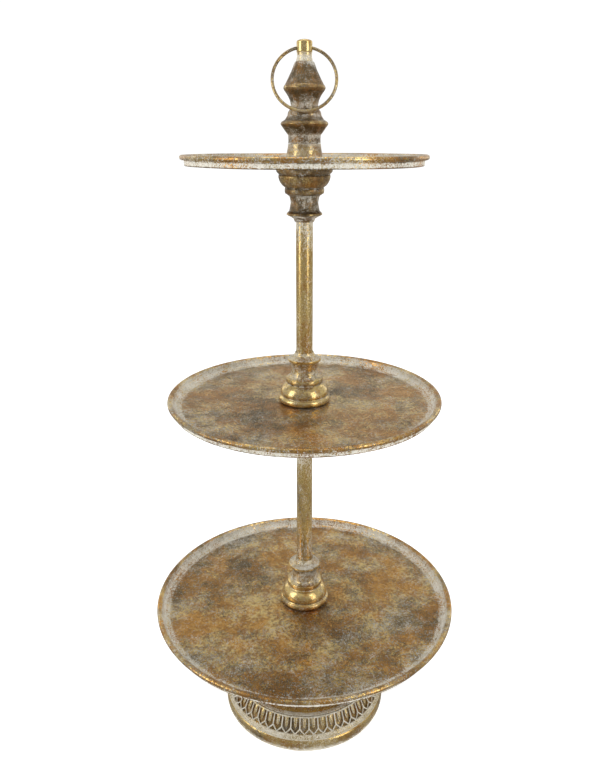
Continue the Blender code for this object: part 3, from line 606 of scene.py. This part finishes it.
low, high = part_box("ring_handle")
ring_bow = RING_MEAN_R - math.sqrt(RING_MEAN_R ** 2 - KNOB_R ** 2)
ring_reach = 2.0 * RING_MEAN_R - 0.5 * ring_bow
ring_lean = math.acos((ring_axis_z - low.z - RING_WIRE_R * MM) / (ring_reach * MM))
ring_vertices = []
ring_levels = []
for step in range(RING_STEPS):
    around = math.tau * step / RING_STEPS
    fall = 0.5 * (1.0 - math.cos(around))
    for side in range(WIRE_STEPS):
        turn = math.tau * side / WIRE_STEPS
        waver = 1.0 + WIRE_WAVER * math.sin(5.0 * around + 1.0) * math.sin(turn)
        radius = RING_MEAN_R + RING_WIRE_R * waver * math.cos(turn)
        across = radius * math.sin(around)
        drop = RING_MEAN_R - 0.5 * ring_bow - radius * math.cos(around)
        aside = RING_WIRE_R * waver * math.sin(turn)
        forward = aside * math.cos(ring_lean) - drop * math.sin(ring_lean)
        below_axis = drop * math.cos(ring_lean) + aside * math.sin(ring_lean)
        ring_vertices.append((across * MM, forward * MM, ring_axis_z - below_axis * MM))
        ring_levels.append((RING_WASH, -0.75 + 1.1 * min(1.0, 1.6 * fall)))
ring_faces = []
for step in range(RING_STEPS):
    after = (step + 1) % RING_STEPS
    for side in range(WIRE_STEPS):
        beside = (side + 1) % WIRE_STEPS
        ring_faces.append((step * WIRE_STEPS + side, after * WIRE_STEPS + side,
                           after * WIRE_STEPS + beside, step * WIRE_STEPS + beside))
ring_mesh = bpy.data.meshes.new("ring_wire")
ring_mesh.from_pydata(ring_vertices, [], ring_faces)
write_levels(ring_mesh, ring_levels)
ring_mesh.shade_smooth()
ring = bpy.data.objects.new("ring_wire", ring_mesh)
bpy.context.scene.collection.objects.link(ring)
ring_patina = patina("ring_patina", 0.12, warmth=-0.35, size=0.5, gloss=0.22, seed=3.3)
stand_for(ring, ring_patina, "ring_handle", "ring")

# ---------------------------------------------------------------------------------------------
# Foot. A rolled base ring carries a pierced band, cast with a row of pointed openings that each
# hold a tongue. Behind it a spun pedestal rises from a pale shoulder to the plate under the tray.

BASE_R = 98.5
BASE_BORE_R = 92.5
BASE_HEIGHT = 14.4
BAND_BOTTOM = (97.4, 14.7)
BAND_TOP = (86.2, 38.3)
BAND_SHEET = 1.4
BAND_UNITS = 54

base_corners = [(95.4, BASE_HEIGHT, 0.4, 0.2, -0.6), (97.2, BASE_HEIGHT, 0.8, 0.05, 1.0)]
base_corners += [(98.3, 12.6, 1.2, 0.05, 1.0), (BASE_R, 7.2, 30.0, 0.15, 0.15)]
base_corners += [(98.4, 6.0, 5.0, 0.35, 0.1), (98.2, 2.4, 1.5, 0.95, 0.2)]
base_corners += [(96.9, 0.0, 0.9, 0.95, 0.2), (BASE_BORE_R, 0.0, 0.4, 0.3, -0.4)]
base_corners += [(BASE_BORE_R, BASE_HEIGHT, 0.4, 0.2, -0.6)]
base_ring = turned("foot_base_ring_rolled", base_corners, TURN_SIDES)
base_patina = patina("foot_base_patina", 0.05, size=0.8, gloss=0.22, seed=5.9)
stand_for(base_ring, base_patina, "foot_base_ring")

slope = Vector((BAND_BOTTOM[0] - BAND_TOP[0], BAND_BOTTOM[1] - BAND_TOP[1]))
band_length = slope.length
band_out = Vector((-slope.y, slope.x)).normalized()


def behind_band(length, inward):
    """Radius and height of a point down the band's slope and in from its face, square to it."""
    point = Vector(BAND_TOP) + slope * length / band_length - band_out * inward
    return point.x, point.y


PLATE_R = 64.0
PLATE_TOP = 133.6
PEDESTAL_SHEET = 1.8
TRUMPET = (77.04, 89.0)
TRUMPET_R = 45.03
SCOTIA = (80.6, 48.2)
SCOTIA_R = 9.0

plate_under = PLATE_TOP - PEDESTAL_SHEET
skirt_face = BAND_SHEET + JOINT_GAP
skirt_back = skirt_face + PEDESTAL_SHEET
skirt_top = behind_band(0.0, skirt_face)
pedestal_corners = [(PLATE_R, PLATE_TOP, 0.4, 0.4, 0.2), (PLATE_R, plate_under, 0.4, 0.4, 0.2)]
pedestal_corners += arc(*TRUMPET, TRUMPET_R, 120.0, 238.0, 0.35, 0.0, 24)
pedestal_corners += arc(*SCOTIA, SCOTIA_R, -150.0, -90.0, 0.05, 0.55, 8)
pedestal_corners += [(81.6, 39.2, 0.0, 0.85, 0.0), (skirt_top[0] + 1.2, 39.1, 0.6, 0.95, 0.1)]
# The skirt seen through the band's openings is set dark, its back darker still: painted shade
# behind the band.
pedestal_corners += [(*skirt_top, 0.0, 0.1, -0.5)]
pedestal_corners += [(*behind_band(band_length, skirt_face), 0.0, 0.1, -0.5)]
pedestal_corners += [(*behind_band(band_length, skirt_back), 0.0, 0.1, -0.9)]
pedestal_corners += [(*behind_band(PEDESTAL_SHEET, skirt_back), 0.0, 0.1, -0.9)]
pedestal_corners += arc(*SCOTIA, SCOTIA_R + PEDESTAL_SHEET, -95.0, -150.0, 0.1, -0.9, 6)
pedestal_corners += arc(*TRUMPET, TRUMPET_R + PEDESTAL_SHEET, 238.0, 120.0, 0.1, -0.9, 20)
pedestal_corners += [(51.8, plate_under, 0.3, 0.1, -0.9)]
pedestal_corners += [(ROD_HOLE_R, plate_under, 0.0, 0.1, -0.9)]
pedestal_corners += [(ROD_HOLE_R, PLATE_TOP, 0.0, 0.2, -0.5)]
pedestal = turned("foot_pedestal_spun", pedestal_corners, TURN_SIDES)
pedestal_patina = patina("foot_pedestal_patina", 0.06, size=0.8, seed=6.7)
stand_for(pedestal, pedestal_patina, "foot_pedestal")

# One unit of the band, flat: x across it from 0 to 1, y down the slope and z out, in millimetres.
BAR_HALF = 0.07
SLOT_TOP = 1.9
TONGUE_TOP_HALF = 0.19
TONGUE_LOW_HALF = 0.17
TONGUE_SHOULDER = 8.6
TONGUE_TIP = 12.8
LANCET_SHOULDER = 13.0
LANCET_TIP = 18.5
TRIANGLE_APEX = 14.5
TRIANGLE_BASE = 19.3
TRIANGLE_HALF = 0.38
TONGUE_ROOT = 1.6
TONGUE_END = 12.6
TONGUE_RISE = 1.05
TONGUE_SINK = 0.25
TONGUE_ROWS = 8
TONGUE_COLUMNS = 6
RIDGE_SECTION = ((-1.0, -0.3), (-1.0, 0.0), (-0.62, 0.72), (0.0, 1.0), (0.62, 0.72), (1.0, 0.0),
                 (1.0, -0.3))
BRIGHT_WASH = 1.2


class Unit:
    """Gathers the vertices, levels and faces of one unit of the band."""

    def __init__(self):
        self.vertices = []
        self.levels = []
        self.faces = []

    def point(self, x, y, z, wash, wear_and_shade):
        """Adds a vertex, and gives back its number."""
        self.vertices.append((x, y * MM, z * MM))
        self.levels.append((wash, wear_and_shade))
        return len(self.vertices) - 1

    def grid(self, rows):
        """Quads between rows of points of equal length."""
        for upper, lower in zip(rows, rows[1:]):
            for a, b, c, d in zip(upper, upper[1:], lower[1:], lower):
                self.faces.append((a, d, c, b))


def plate(unit):
    """The sheet with its openings: a slot each side of a tongue, and half a triangle each side."""
    outer = [(0.0, 0.0), (0.0, TRIANGLE_APEX), (TRIANGLE_HALF, TRIANGLE_BASE)]
    outer += [(0.0, TRIANGLE_BASE), (0.0, band_length), (0.5, band_length), (1.0, band_length)]
    outer += [(1.0, TRIANGLE_BASE)]
    outer += [(1.0 - TRIANGLE_HALF, TRIANGLE_BASE), (1.0, TRIANGLE_APEX), (1.0, 0.0), (0.5, 0.0)]
    opening = [(BAR_HALF, SLOT_TOP), (BAR_HALF, LANCET_SHOULDER), (0.5, LANCET_TIP)]
    opening += [(1.0 - BAR_HALF, LANCET_SHOULDER), (1.0 - BAR_HALF, SLOT_TOP)]
    opening += [(0.5 + TONGUE_TOP_HALF, SLOT_TOP), (0.5 + TONGUE_LOW_HALF, TONGUE_SHOULDER)]
    opening += [(0.5, TONGUE_TIP), (0.5 - TONGUE_LOW_HALF, TONGUE_SHOULDER)]
    opening += [(0.5 - TONGUE_TOP_HALF, SLOT_TOP)]
    shape = outer + opening
    flat = [Vector((x, -0.1 * y, 0.0)) for x, y in shape]
    front = [unit.point(x, y, 0.0, 0.62, 0.1) for x, y in shape]
    # The back of the band, and so the walls of its openings, are set darkest: painted shade inside
    # the openings.
    back = [unit.point(x, y, -BAND_SHEET, 0.0, -0.9) for x, y in shape]
    for a, b, c in tessellate_polygon([flat[:len(outer)], flat[len(outer):]]):
        normal = (flat[b] - flat[a]).cross(flat[c] - flat[a])
        if normal.z < 0.0:
            b, c = c, b
        unit.faces.append((front[a], front[b], front[c]))
        unit.faces.append((back[c], back[b], back[a]))
    rim = list(range(len(outer)))
    for here, there in zip(rim, rim[1:] + rim[:1]):
        seam = shape[here][0] == shape[there][0] and shape[here][0] in (0.0, 1.0)
        if not seam:
            unit.faces.append((front[here], back[here], back[there], front[there]))
    hole = list(range(len(outer), len(shape)))
    for here, there in zip(hole, hole[1:] + hole[:1]):
        unit.faces.append((front[there], back[there], back[here], front[here]))


def ridge(unit, start, end, half_width, rise, wash, wear_and_shade, steps=1, capped=True):
    """A rounded raised line on the face, from one (x, y) to another. Capped ends are closed."""
    pitch = math.tau * 0.5 * (BAND_TOP[0] + BAND_BOTTOM[0]) / BAND_UNITS
    along = Vector(((end[0] - start[0]) * pitch, end[1] - start[1])).normalized()
    side = Vector((-along.y / pitch, along.x))
    rows = []
    for step in range(steps + 1):
        share = step / steps
        x = start[0] + (end[0] - start[0]) * share
        y = start[1] + (end[1] - start[1]) * share
        row = []
        for u, v in RIDGE_SECTION:
            out = side * half_width * u
            row.append(unit.point(x + out.x, y + out.y, rise * v, wash, wear_and_shade))
        rows.append(row)
    unit.grid([row[::-1] for row in rows])
    if capped:
        unit.faces.append(tuple(rows[0][::-1]))
        unit.faces.append(tuple(rows[-1]))
    for upper, lower in zip(rows, rows[1:]):
        unit.faces.append((upper[0], upper[-1], lower[-1], lower[0])[::-1])


def tongue(unit):
    """A rounded leaf that swells out of the face between the two slots."""
    rows = []
    for step in range(TONGUE_ROWS + 1):
        share = step / TONGUE_ROWS
        y = TONGUE_ROOT + (TONGUE_END - TONGUE_ROOT) * share
        taper = (1.0 - 0.12 * share) * math.sqrt(max(0.0, 1.0 - share ** 5))
        width = TONGUE_TOP_HALF * taper + 0.004
        rise = TONGUE_RISE * math.sin(math.pi * min(1.0, 0.14 + share * 0.8)) ** 0.6
        row = []
        for column in range(TONGUE_COLUMNS + 1):
            u = 2.0 * column / TONGUE_COLUMNS - 1.0
            z = rise * math.sqrt(max(0.0, 1.0 - u * u)) - TONGUE_SINK
            row.append(unit.point(0.5 + width * u, y, z, 0.18 + 0.6 * abs(u) ** 3, 1.0))
        rows.append(row)
    unit.grid(rows)
    left = [row[0] for row in rows]
    right = [row[-1] for row in rows]
    edge = left + rows[-1][1:-1] + right[::-1] + rows[0][-2:0:-1]
    unit.faces.append(tuple(edge[::-1]))


unit = Unit()
plate(unit)
ridge(unit, (0.0, 1.2), (0.0, 13.9), 0.62, 0.8, BRIGHT_WASH, 0.1, 2)
ridge(unit, (0.0, 13.7), (0.5, 18.9), 0.48, 0.7, BRIGHT_WASH, 0.1)
ridge(unit, (0.5, 18.9), (1.0, 13.7), 0.48, 0.7, BRIGHT_WASH, 0.1)
for line_y, line_half in ((0.7, 0.55), (20.2, 0.45), (25.1, 0.5)):
    ridge(unit, (0.0, line_y), (1.0, line_y), line_half, 0.5, 0.85, 0.2, 2, capped=False)
tongue(unit)
unit_mesh = bpy.data.meshes.new("band_unit")
unit_mesh.from_pydata(unit.vertices, [], unit.faces)
write_levels(unit_mesh, unit.levels)
unit_piece = bpy.data.objects.new("band_unit", unit_mesh)
bpy.context.scene.collection.objects.link(unit_piece)

SEAM_WELD = 0.01 * MM
BAND_SHARP_EDGE = 32.0


def pierced_band_tree(material):
    """Repeats a flat unit along a straight strip, then bends the strip round a cone."""
    tree = bpy.data.node_groups.new("pierced_band", "GeometryNodeTree")
    tree.interface.new_socket("Unit", in_out="INPUT", socket_type="NodeSocketObject")
    for label, kind in (("Units", "NodeSocketInt"), ("Top Radius", "NodeSocketFloat"),
                        ("Top Height", "NodeSocketFloat"), ("Bottom Radius", "NodeSocketFloat"),
                        ("Bottom Height", "NodeSocketFloat")):
        tree.interface.new_socket(label, in_out="INPUT", socket_type=kind)
    tree.interface.new_socket("Band", in_out="OUTPUT", socket_type="NodeSocketGeometry")
    wire = Wire(tree)
    source = tree.nodes.new("NodeGroupInput")
    size = {socket.name: Wire(tree, socket) for socket in source.outputs if socket.name}
    shape = wire.add("GeometryNodeObjectInfo", {}, {"Object": size["Unit"]}, output="Geometry")
    line_sockets = {"Count": size["Units"], "Offset": (1.0, 0.0, 0.0)}
    line = wire.add("GeometryNodeMeshLine", {}, line_sockets)
    strip = wire.add("GeometryNodeInstanceOnPoints", {}, {"Points": line, "Instance": shape})
    strip = wire.add("GeometryNodeRealizeInstances", {}, {"Geometry": strip})
    place = wire.add("GeometryNodeInputPosition")
    split = place.add("ShaderNodeSeparateXYZ", {}, {0: place}).socket.node
    across, down, out = (Wire(tree, socket) for socket in split.outputs)
    run = size["Bottom Radius"] - size["Top Radius"]
    fall = size["Bottom Height"] - size["Top Height"]
    length = wire.math("SQRT", run * run + fall * fall)
    share = wire.math("DIVIDE", down, length)
    angle = wire.math("DIVIDE", across * math.tau, size["Units"])
    radius = size["Top Radius"] + run * share - wire.math("DIVIDE", fall, length) * out
    level = size["Top Height"] + fall * share + wire.math("DIVIDE", run, length) * out
    bent_sockets = {0: radius * wire.math("COSINE", angle), 1: radius * wire.math("SINE", angle)}
    bent_sockets[2] = level
    bent = wire.add("ShaderNodeCombineXYZ", {}, bent_sockets)
    strip = wire.add("GeometryNodeSetPosition", {}, {"Geometry": strip, "Position": bent})
    seam_sockets = {"Geometry": strip, "Distance": SEAM_WELD}
    strip = wire.add("GeometryNodeMergeByDistance", {}, seam_sockets)
    strip = wire.add("GeometryNodeRealizeInstances", {}, {"Geometry": strip})
    strip = wire.add("GeometryNodeSetMaterial", {}, {"Geometry": strip, "Material": material})
    sink = tree.nodes.new("NodeGroupOutput")
    tree.links.new(strip.socket, sink.inputs[0])
    return tree


band_patina = patina("foot_gallery_patina", -0.45, 0.22, size=0.6, gloss=0.18, warmth=-0.4,
                     seed=7.7)
band_tree = pierced_band_tree(band_patina)
band_mesh = bpy.data.meshes.new("foot_gallery_cast")
band_mesh.from_pydata([(0.0, 0.0, 0.0)], [], [])
band = bpy.data.objects.new("foot_gallery_cast", band_mesh)
bpy.context.scene.collection.objects.link(band)
maker = band.modifiers.new("pierced_band", "NODES")
maker.node_group = band_tree
band_sizes = {"Unit": unit_piece, "Units": BAND_UNITS, "Top Radius": BAND_TOP[0] * MM,
              "Top Height": BAND_TOP[1] * MM, "Bottom Radius": BAND_BOTTOM[0] * MM,
              "Bottom Height": BAND_BOTTOM[1] * MM}
for item in band_tree.interface.items_tree:
    if item.in_out == "INPUT":
        maker[item.identifier] = band_sizes[item.name]
bpy.context.view_layer.update()
plain_copy(band)
bpy.data.objects.remove(unit_piece)
band.data.shade_smooth()
band.data.set_sharp_from_angle(angle=math.radians(BAND_SHARP_EDGE))
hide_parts("foot_gallery")
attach(band, "stand")

# ---------------------------------------------------------------------------------------------
# Fasteners. Two M8 rods meet in a long nut inside the column and are drawn up by a nut and
# washers under the foot's top plate. All are plain zinc-plated steel, slightly dulled.

CLEAN_ZINC = (0.62, 0.62, 0.63)
DULL_ZINC = (0.42, 0.42, 0.41)


def plated_steel():
    """Zinc plating with a faint bloom and a fine grain."""
    made, shader, wire = new_material("plated_steel")
    place = wire.add("ShaderNodeTexCoord", output=3)
    bloom = noise(place, 160.0, 3.0, 0.6)
    grain = noise(place, 1200.0, 2.0, 0.6)
    dull = (bloom * 0.8 + grain * 0.3).step(0.42, 0.72)
    feed(shader, Base_Color=dull.tint(CLEAN_ZINC, DULL_ZINC))
    feed(shader, Metallic=0.95 - dull * 0.15, Roughness=0.24 + dull * 0.2)
    return made


steel = plated_steel()
steel_nodes = ("tie_rod_lower", "tie_rod_upper", "coupling_nut", "tier_washer", "base_washer",
               "spring_washer", "base_nut")
for node in steel_nodes:
    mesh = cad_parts[node].data
    mesh.materials.clear()
    mesh.materials.append(steel)
